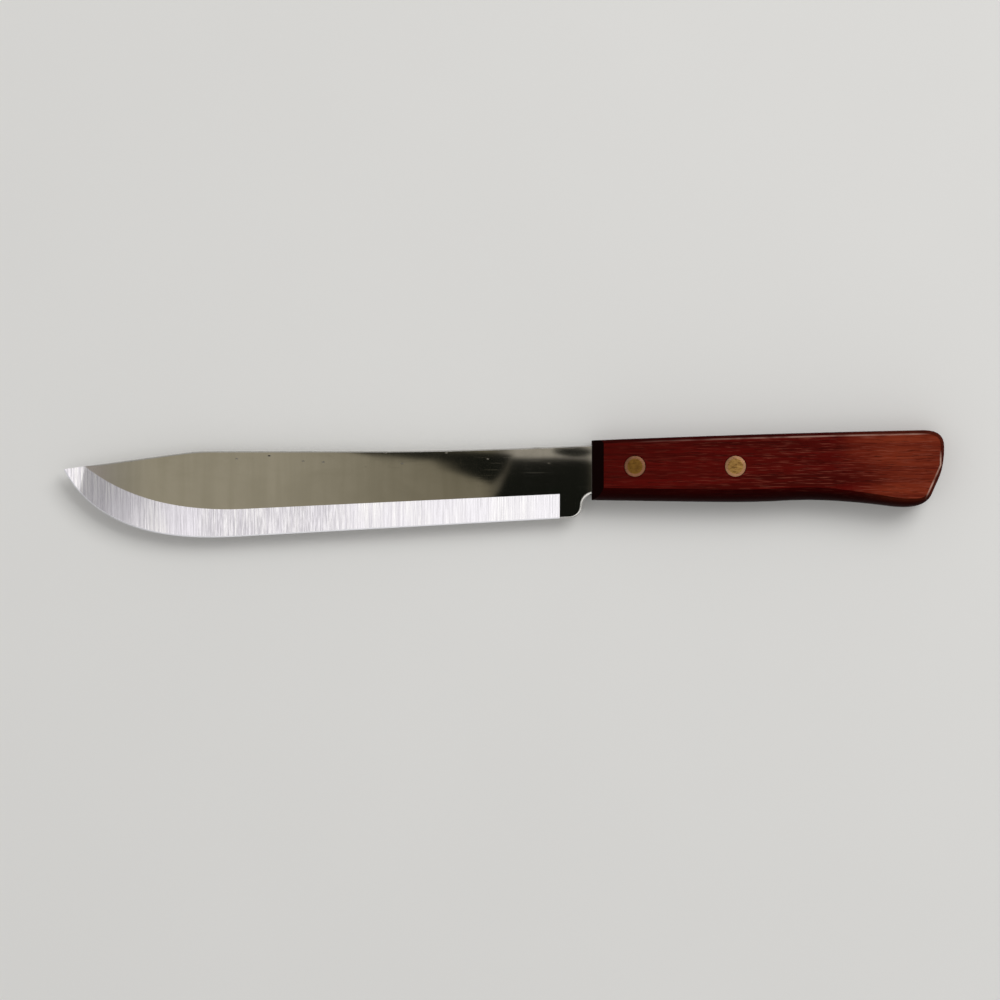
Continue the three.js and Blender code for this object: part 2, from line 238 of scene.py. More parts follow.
def blend_rounds(a, b, share):
    """A worked edge between two others."""
    return tuple(u + (v - u) * share for u, v in zip(a, b))


# Pieces

def piece(name, mesh, nodes, materials):
    """An object that stands for its CAD nodes."""
    obj = bpy.data.objects.new(name, mesh)
    bpy.context.scene.collection.objects.link(obj)
    for material in materials:
        mesh.materials.append(material)
    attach(obj, "root")
    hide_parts(*nodes)
    return obj


def mesh_from(name, vertices, faces, smooth, material_of=None):
    """A closed mesh in the frame from vertices in knife coordinates."""
    mesh = bpy.data.meshes.new(name)
    mesh.from_pydata([v + ORIGIN for v in vertices], [], faces)
    for polygon, is_smooth in zip(mesh.polygons, smooth):
        polygon.use_smooth = is_smooth
    if material_of:
        for polygon, index in zip(mesh.polygons, material_of):
            polygon.material_index = index
    mesh.validate()
    return mesh


def settle(mesh, sharp_angle=None):
    """Merges doubled vertices, points the faces outwards and marks the creases."""
    work = bmesh.new()
    work.from_mesh(mesh)
    bmesh.ops.remove_doubles(work, verts=work.verts, dist=MERGE_DISTANCE)
    bmesh.ops.recalc_face_normals(work, faces=work.faces)
    if sharp_angle is not None:
        for edge in work.edges:
            edge.smooth = edge.calc_face_angle(math.pi) < sharp_angle
    work.to_mesh(mesh)
    work.free()


# Blade

HEEL_BACK = CHOIL_OVERRUN - CHOIL_RADIUS
HEEL_LOW = at(HEEL_BACK - HEEL_RADIUS, -HEEL_DEPTH)
TIP = at(-BLADE_LENGTH, -TIP_DEPTH)
BELLY = at(BELLY_FROM_TIP - BLADE_LENGTH, -BELLY_DEPTH)
CLIP_CORNER = TIP + at(CLIP_LENGTH, TIP_DEPTH)
BEVEL_END = TIP.lerp(CLIP_CORNER, BEVEL_END_FROM_TIP / CLIP_LENGTH)
FLAT, SPINE, BEVEL, HONED = range(4)
LAYER_COUNT = ROUND_STEPS + 1  # points in each column over the border of one side


def edge_at(x):
    """A point on the straight edge."""
    return HEEL_LOW.lerp(BELLY, (x - HEEL_LOW.x) / (BELLY.x - HEEL_LOW.x))


def belly_curve():
    """The curved edge, from the end of the straight edge round to the tip."""
    edge_pull = (BELLY - HEEL_LOW).normalized() * BELLY_PULL
    tip_pull = at(math.cos(TIP_ANGLE), -math.sin(TIP_ANGLE)) * TIP_PULL
    return bezier([BELLY, BELLY + edge_pull, TIP + tip_pull, TIP], FINE_STEPS)


def grind_curve(grind_heel, grind_belly):
    """The grind line over the same stretch, which runs out over the spine."""
    grind_pull = (grind_belly - grind_heel).normalized() * BEVEL_PULL
    end_pull = at(math.cos(BEVEL_END_ANGLE), -math.sin(BEVEL_END_ANGLE)) * BEVEL_END_PULL
    return bezier([grind_belly, grind_belly + grind_pull, BEVEL_END + end_pull, BEVEL_END], FINE_STEPS)


def edge_and_grind():
    """Pairs of points from the end of the bevel at the heel, along the edge and the grind line, to the tip.

    On the point's facet, every pair ends where the grind line runs out.
    """
    edge_heel = edge_at(-BEVEL_STOP)
    grind_heel = edge_heel + at(0, BEVEL_HEEL_HEIGHT)
    grind_belly = BELLY + at(0, BEVEL_BELLY_HEIGHT)
    belly = spaced(belly_curve(), CURVE_STEPS, end=POINT_START)
    facet = spaced(belly_curve(), CURVE_STEPS // 4, start=POINT_START)
    over_belly = spaced(grind_curve(grind_heel, grind_belly), CURVE_STEPS)
    edge = join(bezier([edge_heel, BELLY], CURVE_STEPS), belly, facet)
    grind = join(bezier([grind_heel, grind_belly], CURVE_STEPS), over_belly, [BEVEL_END] * len(facet))
    return list(zip(edge, grind))


# Where the point's facet starts, along the knife
FACET_START = spaced(belly_curve(), 1, start=POINT_START)[0].x


def edge_half(x):
    """Half of the edge's thickness, which swells a little where the point's facet starts."""
    ahead = (FACET_START - x) / (FACET_START - TIP.x)
    behind = (x - FACET_START) / POINT_RAMP
    return EDGE_THICKNESS / 2 + POINT_FULLNESS * max(0, 1 - max(ahead, behind))


def back_outline():
    """The border from the bevel's end by the tip, along spine and tang, and round the heel to the bevel."""
    tang_top = bezier([TOP_FRONT, TOP_MIDDLE, TOP_REAR], CURVE_STEPS)
    past = next(i for i, p in enumerate(tang_top) if p.x > TANG_END)
    share = (TANG_END - tang_top[past - 1].x) / (tang_top[past].x - tang_top[past - 1].x)
    tang_corner = tang_top[past - 1].lerp(tang_top[past], share) - at(0, TANG_RECESS)
    clip_turn = [
        CLIP_CORNER.lerp(TIP, CLIP_CORNER_BLEND / CLIP_LENGTH),
        CLIP_CORNER,
        CLIP_CORNER + at(CLIP_CORNER_BLEND, 0),
    ]
    sweep = [at(-SPINE_SWEEP_LENGTH, 0), at(-SPINE_RISE / SPINE_SLOPE, 0), at(0, SPINE_RISE)]
    tang_low = at(TANG_END, TANG_BOTTOM)
    tang_turn = [tang_low + at(0, TANG_END_RADIUS), tang_low, tang_low - at(TANG_END_RADIUS, 0)]
    heel_level = HEEL_RADIUS - HEEL_DEPTH
    choil = arc(at(CHOIL_OVERRUN, heel_level), CHOIL_RADIUS, math.pi / 2, math.pi, CURVE_STEPS)
    heel = arc(at(HEEL_LOW.x, heel_level), HEEL_RADIUS, 0, -math.pi / 2, CURVE_STEPS)
    spine = join(
        bezier([BEVEL_END, clip_turn[0]], CURVE_STEPS),
        bezier(clip_turn, CURVE_STEPS // 4),
        bezier([clip_turn[2], sweep[0]], CURVE_STEPS),
        bezier(sweep, CURVE_STEPS),
    )
    tang = join([spine[-1], tang_corner], [tang_corner, tang_turn[0]], bezier(tang_turn, CURVE_STEPS // 4))
    lower = join([tang[-1], choil[0]], choil, heel, [heel[-1], edge_at(-BEVEL_STOP)])
    return join(spine, tang, lower)


def rounding_at(point):
    """The border's rounding: none where the bevel runs out, and widest in the hollow by the handle."""
    # The spine and the clip lie above this level, the hollow and the heel below it.
    if point.y > -SPINE_RISE - TIP_DEPTH:
        return blend_rounds((0, 0), SPINE_ROUND, min(1, (point.x - BEVEL_END.x) / CLIP_CORNER_BLEND))
    return blend_rounds(SPINE_ROUND, CHOIL_ROUND, max(0, min(1, (point.x - HEEL_LOW.x) / HEEL_RADIUS)))


def bevel_layers(edge, grind):
    """Points up the bevel at one place: the edge, the honed strip's top, then evenly to the grind line."""
    honed = edge + (grind - edge).normalized() * HONED_WIDTH
    half = edge_half(edge.x)
    start = Vector((honed.x, honed.y, half + HONED_RISE))
    end = Vector((grind.x, grind.y, HALF))
    steps = ROUND_STEPS - 1
    return [Vector((edge.x, edge.y, half))] + [start.lerp(end, i / steps) for i in range(steps + 1)]


def rounded_layers(point, inward, width, depth):
    """Points over a rounded border at one place, from the side wall to the flat."""
    layers = []
    for i in range(LAYER_COUNT):
        turn = math.pi / 2 * i / ROUND_STEPS
        q = point + inward * width * (1 - math.cos(turn))
        layers.append(Vector((q.x, q.y, HALF - depth * (1 - math.sin(turn)))))
    return layers


class Faces:
    """Faces as they are added, each with its material and whether it is smooth."""

    def __init__(self):
        self.corners = []
        self.smooth = []
        self.material_of = []

    def add(self, corners, kind, is_smooth=True):
        self.corners.append(corners)
        self.smooth.append(is_smooth)
        self.material_of.append(kind)


def add_border(faces, ground_count, column_count):
    """The edge, the bevel and the rounded border on both sides, between neighbouring columns of points."""
    lower = column_count * LAYER_COUNT
    for i in range(column_count):
        after = (i + 1) % column_count
        here, there = i * LAYER_COUNT, after * LAYER_COUNT
        if i == ground_count - 1:
            wall = [here + k for k in range(LAYER_COUNT)]
            faces.add(wall + [lower + k for k in reversed(wall)], SPINE, False)
            continue
        both_ground = i < ground_count and after < ground_count
        faces.add([here, there, lower + there, lower + here], HONED if both_ground else SPINE)
        for k in range(ROUND_STEPS):
            kind = (HONED if k == 0 else BEVEL) if both_ground else SPINE
            quad = [here + k, here + k + 1, there + k + 1, there + k]
            for base in (0, lower):
                faces.add([base + corner for corner in quad], kind)


def add_flats(faces, vertices, columns):
    """Both flats inside the border, pierced for the rivets."""
    lower = len(columns) * LAYER_COUNT
    tops = [column[-1] for column in columns]
    rim = [i for i in range(len(tops)) if (tops[i] - tops[i - 1]).length > MERGE_DISTANCE]
    rings = [[LAYER_COUNT * i + ROUND_STEPS for i in rim]]
    first_hole = len(vertices)
    for centre in RIVETS:
        ring = arc(centre, SLEEVE_RADIUS + SLEEVE_FIT, 0, 2 * math.pi, TURNED_SIDES)[:-1]
        rings.append([len(vertices) + i for i in range(len(ring))])
        vertices.extend(Vector((p.x, p.y, HALF)) for p in ring)
    hole_count = len(vertices) - first_hole
    vertices.extend(Vector((v.x, v.y, -v.z)) for v in vertices[first_hole:])
    flat_index = [i for ring in rings for i in ring]
    below = {i: i + (hole_count if i >= first_hole else lower) for i in flat_index}
    for triangle in tessellate_polygon([[vertices[i] for i in ring] for ring in rings]):
        face = [flat_index[t] for t in triangle]
        faces.add(face, FLAT, False)
        faces.add([below[i] for i in face], FLAT, False)
    for ring in rings[1:]:
        for a, b in zip(ring, ring[1:] + ring[:1]):
            faces.add([a, b, below[b], below[a]], SPINE)


def crease_blade(mesh):
    """Marks creases at steep turns and where the finish changes, but not between a flat and the border."""
    work = bmesh.new()
    work.from_mesh(mesh)
    for edge in work.edges:
        kinds = {face.material_index for face in edge.link_faces}
        crease = len(kinds) > 1 and kinds != {FLAT, SPINE}
        edge.smooth = not crease and edge.calc_face_angle(math.pi) < BLADE_CREASE
    work.to_mesh(mesh)
    work.free()


def blade_mesh():
    """The whole blade, with a material for each finish."""
    ground = [bevel_layers(edge, grind) for edge, grind in edge_and_grind()]
    outline = back_outline()
    normals = inward_normals(outline, turn=-1)
    rounded = [rounded_layers(p, n, *rounding_at(p)) for p, n in zip(outline, normals)]
    columns = ground + rounded
    vertices = [Vector((v.x, v.y, side * v.z)) for side in (1, -1) for column in columns for v in column]
    faces = Faces()
    add_border(faces, len(ground), len(columns))
    add_flats(faces, vertices, columns)
    mesh = mesh_from("blade_steel", vertices, faces.corners, faces.smooth, faces.material_of)
    settle(mesh)
    crease_blade(mesh)
    return mesh


# Scales

def lower_round(x, hook, slant_low):
    """The worked lower edge, which narrows towards the hook and then round it."""
    narrowing = HANDLE_LENGTH - NARROWING_FROM_BUTT
    before = max(0, (x - narrowing) / (hook.x - narrowing))
    if before < 1:
        return blend_rounds(LOWER_ROUND, HOOK_ROUND, before)
    past = (x - hook.x) / (slant_low.x - hook.x)
    return blend_rounds(HOOK_ROUND, BUTT_ROUND, past**2)


def scale_outline():
    """The border from the lower front corner round the butt to the upper one, and its worked edges."""
    def slant_at(depth):
        return at(HANDLE_LENGTH - (depth - SLANT_START_DEPTH) * math.tan(SLANT_ANGLE), -depth)

    def from_butt(length, depth):
        return at(HANDLE_LENGTH - length, -depth)

    hook = from_butt(HOOK_FROM_BUTT, HOOK_DEPTH)
    slant_low = slant_at(SLANT_END_DEPTH)
    slant_high = slant_at(SLANT_START_DEPTH + SLANT_BLEND * math.cos(SLANT_ANGLE))
    rearmost = at(HANDLE_LENGTH, TOP_REAR.y - BUTT_CORNER_DROP)
    under = spline([
        at(0, -FRONT_DEPTH),
        at(SWELL_SETBACK, -SWELL_DEPTH),
        from_butt(WAIST_FROM_BUTT, WAIST_DEPTH),
        from_butt(FLARE_FROM_BUTT, FLARE_DEPTH),
        hook,
    ], CURVE_STEPS // 2)
    lower = join(under, bezier([hook, slant_at(HOOK_CORNER_DEPTH), slant_low], CURVE_STEPS // 2))
    rear = join(
        bezier([slant_low, slant_high], CURVE_STEPS // 4),
        bezier([slant_high, slant_at(SLANT_START_DEPTH), rearmost], CURVE_STEPS // 4),
        bezier([
            rearmost,
            rearmost + at(0, BUTT_CORNER_PULL),
            TOP_REAR + at(BUTT_CORNER_PULL, 0),
            TOP_REAR,
        ], CURVE_STEPS // 2),
    )
    top = bezier([TOP_REAR, TOP_MIDDLE, TOP_FRONT], CURVE_STEPS)
    rounds = [lower_round(p.x, hook, slant_low) for p in lower]
    rounds += [BUTT_ROUND for _ in rear[1:]]
    rounds += [blend_rounds(UPPER_ROUND, BUTT_ROUND, p.x / TOP_REAR.x) for p in top[1:]]
    return join(lower, rear, top), rounds


def scale_blank(side):
    """A scale with its edges worked, before it is cut."""
    outline, rounds = scale_outline()
    normals = inward_normals(outline)
    normals[0], normals[-1] = at(0, 1), at(0, -1)
    eased = [p + n * SEAM_EASE for p, n in zip(outline, normals)]
    rings = [[Vector((p.x, p.y, 0)) for p in eased], [Vector((p.x, p.y, SEAM_EASE)) for p in outline]]
    steps = 2 * ROUND_STEPS
    for step in range(steps + 1):
        turn = ROUND_SWEEP * step / steps
        inset = (1 - math.cos(turn)) / (1 - math.cos(ROUND_SWEEP))
        rise = math.sin(turn) / math.sin(ROUND_SWEEP)
        ring = []
        for p, n, (width, depth) in zip(outline, normals, rounds):
            q = p + n * inset * width
            ring.append(Vector((q.x, q.y, SCALE - depth * (1 - rise))))
        rings.append(ring)
    count = len(outline)
    vertices = [Vector((v.x, v.y, side * v.z)) for ring in rings for v in ring]
    faces = [list(range(count)), [len(vertices) - count + i for i in range(count)]]
    for r in range(len(rings) - 1):
        for i in range(count):
            a, b = r * count + i, r * count + (i + 1) % count
            faces.append([a, b, b + count, a + count])
    mesh = mesh_from("scale_blank", vertices, faces, [True] * len(faces))
    settle(mesh)
    return mesh


def prism_mesh(outline, low, high):
    """A closed prism over an outline in knife coordinates, between two heights."""
    count = len(outline)
    vertices = [Vector((p.x, p.y, z)) for z in (low, high) for p in outline]
    faces = [list(range(count)), list(range(count, 2 * count))]
    faces += [[i, (i + 1) % count, count + (i + 1) % count, count + i] for i in range(count)]
    mesh = mesh_from("cutter", vertices, faces, [False] * len(faces))
    settle(mesh)
    return mesh


def chamfer_mesh(side):
    """The wedge that leaves a flat chamfer across the front of a scale."""
    slope = CHAMFER_DEPTH / CHAMFER_LENGTH
    low = SCALE - CHAMFER_DEPTH - OVERCUT * slope
    high = SCALE + OVERCUT * slope
    section = [(-OVERCUT, low), (CHAMFER_LENGTH + OVERCUT, high), (-OVERCUT, high)]
    ends = (-HOOK_CORNER_DEPTH, TOP_REAR.y + OVERCUT)
    vertices = [Vector((x, y, side * z)) for y in ends for x, z in section]
    faces = [[0, 1, 2], [3, 4, 5], [0, 1, 4, 3], [1, 2, 5, 4], [2, 0, 3, 5]]
    mesh = mesh_from("cutter", vertices, faces, [False] * len(faces))
    settle(mesh)
    return mesh


def rebate_mesh(side):
    """The block that leaves the recess for the tang."""
    low, high = at(-OVERCUT, TANG_BOTTOM - TANG_FIT), at(TANG_END + TANG_FIT, TOP_REAR.y + OVERCUT)
    corners = [low, at(high.x, low.y), high, at(low.x, high.y)]
    return prism_mesh(corners, *sorted((-side * OVERCUT, side * HALF)))


def cut(obj, cutter_meshes):
    """Takes each cutter out of the piece, and leaves the piece with a plain mesh."""
    for mesh in cutter_meshes:
        cutter = bpy.data.objects.new("cutter", mesh)
        bpy.context.scene.collection.objects.link(cutter)
        modifier = obj.modifiers.new("cut", "BOOLEAN")
        modifier.operation = "DIFFERENCE"
        modifier.solver = "EXACT"
        modifier.object = cutter
        bake_modifiers(obj)
        bpy.data.objects.remove(cutter)


def bake_modifiers(obj):
    """Gives the piece the mesh that its modifiers make."""
    graph = bpy.context.evaluated_depsgraph_get()
    made = bpy.data.meshes.new_from_object(obj.evaluated_get(graph))
    obj.modifiers.clear()
    obj.data = made


def scale_piece(name, side, material):
    """A scale, cut for its chamfer, the tang and the rivets."""
    obj = piece(name + "_wood", scale_blank(side), [name], [material])
    cutters = [chamfer_mesh(side), rebate_mesh(side)]
    for centre in RIVETS:
        seat = arc(centre, HEAD_RADIUS + HEAD_FIT, 0, 2 * math.pi, TURNED_SIDES)[:-1]
        hole = arc(centre, SLEEVE_RADIUS + SLEEVE_FIT, 0, 2 * math.pi, TURNED_SIDES)[:-1]
        cutters.append(prism_mesh(seat, *sorted((side * HEAD_SEAT, side * (SCALE + OVERCUT)))))
        cutters.append(prism_mesh(hole, *sorted((-side * OVERCUT, side * (SCALE + OVERCUT)))))
    cut(obj, cutters)
    settle(obj.data, sharp_angle=WOOD_CREASE)
    return obj


# Rivets

def turned_piece(name, profile, centre, node, material):
    """A turned rivet half. The profile gives radius and height, from the axis back to the axis."""
    vertices, rows = [], []
    for radius, height in profile:
        ring = [centre] if radius == 0 else arc(centre, radius, 0, 2 * math.pi, TURNED_SIDES)[:-1]
        rows.append([len(vertices) + i for i in range(len(ring))])
        vertices.extend(Vector((p.x, p.y, height)) for p in ring)
    faces = []
    for a, b in zip(rows, rows[1:]):
        for i in range(TURNED_SIDES):
            j = (i + 1) % TURNED_SIDES
            ring_a = [a[0]] if len(a) == 1 else [a[i], a[j]]
            ring_b = [b[0]] if len(b) == 1 else [b[j], b[i]]
            faces.append(ring_a + ring_b)
    mesh = mesh_from(name, vertices, faces, [True] * len(faces))
    settle(mesh, sharp_angle=RIVET_CREASE)
    return piece(name, mesh, [node], [material])


def head_profile(side):
    """Half of a rivet head's outline, from the middle of its face to the underside of its rim."""
    face = side * SCALE
    return [
        (0, face),
        (HEAD_RADIUS - HEAD_RIM_WIDTH - HEAD_EDGE, face),
        (HEAD_RADIUS - HEAD_RIM_WIDTH + HEAD_EDGE, face - side * HEAD_EDGE * HEAD_RIM_DROP / HEAD_RIM_WIDTH),
        (HEAD_RADIUS - HEAD_EDGE, face - side * HEAD_RIM_DROP),
        (HEAD_RADIUS, face - side * (HEAD_RIM_DROP + HEAD_EDGE)),
        (HEAD_RADIUS, side * HEAD_SEAT),
    ]


def rivet_pieces(end, centre, material):
    """The pin and the sleeve of one rivet."""
    pin = head_profile(1) + [
        (PIN_RADIUS, HEAD_SEAT),
        (PIN_RADIUS, RIVET_END_GAP - HEAD_SEAT),
        (0, RIVET_END_GAP - HEAD_SEAT),
    ]
    sleeve = head_profile(-1) + [
        (SLEEVE_RADIUS, -HEAD_SEAT),
        (SLEEVE_RADIUS, HEAD_SEAT - RIVET_END_GAP),
        (BORE_RADIUS, HEAD_SEAT - RIVET_END_GAP),
        (BORE_RADIUS, -HEAD_SEAT),
        (0, -HEAD_SEAT),
    ]
    turned_piece(f"{end}_rivet_pin_brass", pin, centre, f"{end}_rivet_pin", material)
    turned_piece(f"{end}_rivet_sleeve_brass", sleeve, centre, f"{end}_rivet_sleeve", material)


# Materials

def srgb(red, green, blue):
    """A colour written as it is seen, 0 to 255, as the renderer's linear values."""
    def linear(value):
        v = value / 255
        return v / 12.92 if v <= 0.04045 else ((v + 0.055) / 1.055) ** 2.4

    return (linear(red), linear(green), linear(blue), 1)


# Steel colours
POLISHED = srgb(207, 204, 197)
SMUDGED = srgb(197, 194, 186)
BUFFED = srgb(192, 189, 180)
HAZY = srgb(220, 214, 218)
PITTED = srgb(58, 50, 42)
GRIND_WHITE = srgb(240, 237, 235)
GRIND_LAVENDER = srgb(231, 227, 232)
GRIND_COARSE = srgb(208, 204, 209)
GRIND_FINE = srgb(182, 178, 184)
GRIND_BY_HEEL = srgb(240, 239, 239)
GRIND_BROKEN = srgb(156, 152, 158)
GRIND_DEEP = srgb(136, 132, 138)
HONED_DULL = srgb(206, 205, 208)
HONED_BRIGHT = srgb(238, 237, 240)
BRUSHED_DULL = srgb(186, 183, 177)
BRUSHED_BRIGHT = srgb(218, 216, 211)
STAINED = srgb(120, 108, 92)

# Wood colours, as painted light: shaded copies towards the front and lit copies towards the butt
WOOD_SHEEN = (0.9, 0.16, 0.1, 1)
FRONT_SHADED_DEEP = srgb(48, 2, 2)
FRONT_SHADED_BRIGHT = srgb(76, 4, 4)
FRONT_SHADED_FINE = srgb(88, 12, 9)
BUTT_LIT_DEEP = srgb(74, 17, 10)
BUTT_LIT_BRIGHT = srgb(114, 42, 23)
BUTT_LIT_FINE = srgb(134, 58, 35)
PALE_PORES = srgb(138, 76, 60)
DARK_PORES = srgb(26, 2, 2)
# Painted shade: near-black for the rolled border, where it turns from the light, and for the front chamfer
BORDER_PAINTED_SHADE = srgb(14, 1, 1)
FRONT_PAINTED_SHADE = srgb(6, 1, 1)
# Painted highlight along the upper and butt creases
CREASE_HIGHLIGHT = srgb(182, 146, 130)
RIGHT_GRAIN_SHIFT = (17, 31, 23)  # so that the two scales aren't alike

# Brass colours, from dull to bright where there are two
BRASS_DULL = (srgb(106, 75, 30), srgb(130, 94, 42))
BRASS_CLEAN = (srgb(142, 105, 53), srgb(176, 137, 80))
BRASS_TARNISH = srgb(92, 60, 26)
BRASS_RIM = (srgb(132, 92, 68), srgb(162, 120, 88))
RIM_TARNISH = srgb(110, 74, 50)
RIVET_SHINE = (0.0, 1.0)  # the front rivet is dull, the rear one clean

# Where a finish, a painted light or a painted highlight sets in or dies out, along the knife
HAZE = (BEVEL_END.x + 13 * MM, BEVEL_END.x + 2 * MM)
WHITER_HEEL = (-120 * MM, -20 * MM)
COARSE_GRIND_START = (-160 * MM, -140 * MM)
COARSE_GRIND_END = (-84 * MM, -106 * MM)
BUTT_LIGHT = (99 * MM, 118 * MM)
BUTT_LIGHT_DRIFT = (-9 * MM, 9 * MM)
PALE_PORES_START = (0.0, 90 * MM)
UPPER_HIGHLIGHT_START = (5 * MM, 70 * MM)
UPPER_HIGHLIGHT_END = (129 * MM, 122 * MM)

# The same up the knife
PITS = (-7 * MM, -2 * MM)
BUTT_HIGHLIGHT_START = (-19 * MM, -14 * MM)
BUTT_HIGHLIGHT_END = (0.5 * MM, -3 * MM)

# The same out from the knife's middle, and away from the line of a crease with a painted highlight
HIGHLIGHT_BY_FACE = (SCALE - 1.3 * MM, SCALE - 0.6 * MM)
UPPER_HIGHLIGHT = (0.4 * MM, 0.15 * MM)
BUTT_HIGHLIGHT = (0.42 * MM, 0.15 * MM)


class Nodes:
    """A node tree, with short names for the nodes used here."""

    def __init__(self, tree):
        self.tree = tree

    def node(self, kind, inputs, **settings):
        made = self.tree.nodes.new("ShaderNode" + kind)
        for key, value in settings.items():
            setattr(made, key, value)
        for key, value in inputs.items():
            self.feed(made.inputs[key], value)
        return made

    def feed(self, socket, value):
        if isinstance(value, bpy.types.NodeSocket):
            self.tree.links.new(value, socket)
        else:
            socket.default_value = value

    def fade(self, value, low, high, to_low=0.0, to_high=1.0, kind="SMOOTHSTEP"):
        """Goes from one number to another as the value goes from low to high."""
        inputs = {0: value, 1: low, 2: high, 3: to_low, 4: to_high}
        return self.node("MapRange", inputs, interpolation_type=kind).outputs[0]

    def calc(self, operation, a, b=0.0):
        return self.node("Math", {0: a, 1: b}, operation=operation).outputs[0]

    def total(self, *values):
        result = values[0]
        for value in values[1:]:
            result = self.calc("ADD", result, value)
        return result

    def product(self, *values):
        result = values[0]
        for value in values[1:]:
            result = self.calc("MULTIPLY", result, value)
        return result

    def mix(self, share, a, b):
        return self.node("Mix", {0: share, 6: a, 7: b}, data_type="RGBA").outputs[2]


class Shader(Nodes):
    """A material with a Principled surface, textured in knife coordinates."""

    def __init__(self, name, shift=(0, 0, 0), **constants):
        self.shift = Vector(shift)
        self.material = bpy.data.materials.new(name)
        self.material.use_nodes = True
        super().__init__(self.material.node_tree)
        self.surface = self.tree.nodes["Principled BSDF"]
        for socket, value in constants.items():
            self.surface.inputs[socket.replace("_", " ")].default_value = value

    def set(self, name, value):
        self.feed(self.surface.inputs[name], value)

    def place(self, stretch=(1, 1, 1), offset=(0, 0, 0)):
        """Knife coordinates in metres, stretched for a texture."""
        raw = self.node("TexCoord", {}).outputs["Object"]
        local = self.node("VectorMath", {0: raw, 1: ORIGIN}, operation="SUBTRACT").outputs[0]
        moved = self.node("VectorMath", {0: local, 1: stretch}, operation="MULTIPLY").outputs[0]
        return self.node("VectorMath", {0: moved, 1: offset}, operation="ADD").outputs[0]

    def axis(self, name):
        return self.node("SeparateXYZ", {0: self.place()}).outputs[name]

    def noise(self, stretch, offset=(0, 0, 0), detail=2.0, rough=0.5, distortion=0.0):
        """Noise with a number of waves to the metre along each axis."""
        inputs = {"Scale": 1.0, "Detail": detail, "Roughness": rough, "Distortion": distortion}
        inputs["Vector"] = self.place(stretch, Vector(offset) + self.shift)
        return self.node("TexNoise", inputs).outputs[0]

    def cells(self, stretch):
        """How far each place is from the middle of its cell."""
        inputs = {"Vector": self.place(stretch), "Scale": 1.0}
        return self.node("TexVoronoi", inputs).outputs["Distance"]

    def facing(self, name):
        """How far the surface faces along an axis, from -1 to 1."""
        normal = self.node("NewGeometry", {}).outputs["Normal"]
        return self.node("SeparateXYZ", {0: normal}).outputs[name]

    def bump(self, height, distance, normal=None):
        inputs = {"Height": height, "Distance": distance}
        if normal is not None:
            inputs["Normal"] = normal
        return self.node("Bump", inputs).outputs[0]


def polished_steel():
    """Mirror polish with smudges, faint hairlines, a few dark pits by the spine and a haze by the point."""
    s = Shader("polished_steel", Metallic=1.0)
    smudge = s.noise((45, 70, 70), detail=5.0, rough=0.6, distortion=0.4)
    buffing = s.noise((260, 18, 18), offset=(2, 5, 1), detail=2.0)
    hair = s.noise((40, 5200, 900), offset=(3, 7, 1), detail=2.0)
    cross_hair = s.noise((2600, 120, 900), offset=(9, 2, 5), detail=2.0)
    lines = s.calc("MAXIMUM", s.fade(hair, 0.66, 0.78), s.fade(cross_hair, 0.70, 0.80))
    pits = s.fade(s.cells((130, 260, 130)), 0.10, 0.04)
    pits = s.product(pits, s.fade(s.axis("Y"), *PITS))
    clean = s.mix(s.fade(smudge, 0.35, 0.75), POLISHED, SMUDGED)
    clean = s.mix(s.fade(buffing, 0.35, 0.7, 0.0, 0.5), clean, BUFFED)
    haze = s.fade(s.axis("X"), *HAZE, 0.0, 0.8)
    clean = s.mix(haze, clean, HAZY)
    s.set("Base Color", s.mix(pits, clean, PITTED))
    dull = s.fade(smudge, 0.45, 0.8, 0.016, 0.024)
    s.set("Roughness", s.total(dull, s.product(lines, 0.015), s.product(pits, 0.4), s.product(haze, 0.1)))
    waves = s.bump(s.noise((28, 45, 45), offset=(1, 4, 2), detail=1.0), 1e-5)
    s.set("Normal", s.bump(s.total(lines, pits), -1e-7, normal=waves))
    return s.material


def ground_steel():
    """The bevel's coarse grind: broken lines across it, dullest round the belly and whiter by the heel."""
    s = Shader("ground_steel", Metallic=1.0)
    coarse = s.noise((1600, 26, 40), detail=3.0, rough=0.65)
    fine = s.noise((3400, 90, 60), offset=(5, 3, 1), detail=3.0, rough=0.7)
    broad = s.noise((75, 30, 30), offset=(8, 1, 3), detail=2.0)
    deep = s.fade(s.noise((1500, 38, 40), offset=(2, 8, 4), detail=2.0), 0.64, 0.74)
    tone = s.mix(s.fade(broad, 0.35, 0.65), GRIND_WHITE, GRIND_LAVENDER)
    tone = s.mix(s.fade(coarse, 0.35, 0.7), tone, GRIND_COARSE)
    tone = s.mix(s.fade(fine, 0.4, 0.75, 0.0, 0.65), tone, GRIND_FINE)
    tone = s.mix(s.fade(s.axis("X"), *WHITER_HEEL, 0.0, 0.3), tone, GRIND_BY_HEEL)
    broken = s.fade(s.noise((2300, 120, 60), offset=(6, 9, 2), detail=3.0, rough=0.65), 0.4, 0.62)
    coarser = s.product(s.fade(s.axis("X"), *COARSE_GRIND_START), s.fade(s.axis("X"), *COARSE_GRIND_END))
    tone = s.mix(s.product(broken, s.fade(coarser, 0.0, 1.0, 0.1, 0.55)), tone, GRIND_BROKEN)
    s.set("Base Color", s.mix(s.product(deep, 0.6), tone, GRIND_DEEP))
    s.set("Roughness", s.fade(fine, 0.2, 0.8, 0.1, 0.15))
    height = s.total(coarse, s.product(fine, 0.6), s.product(deep, -1.0))
    s.set("Normal", s.bump(height, 4.5e-6))
    return s.material


def honed_steel():
    """The narrow sharpened strip, with finer and shorter lines."""
    s = Shader("honed_steel", Metallic=1.0)
    lines = s.noise((3200, 300, 60), detail=3.0, rough=0.7)
    s.set("Base Color", s.mix(lines, HONED_DULL, HONED_BRIGHT))
    s.set("Roughness", s.fade(lines, 0.2, 0.8, 0.26, 0.36))
    s.set("Normal", s.bump(lines, 3e-6))
    return s.material


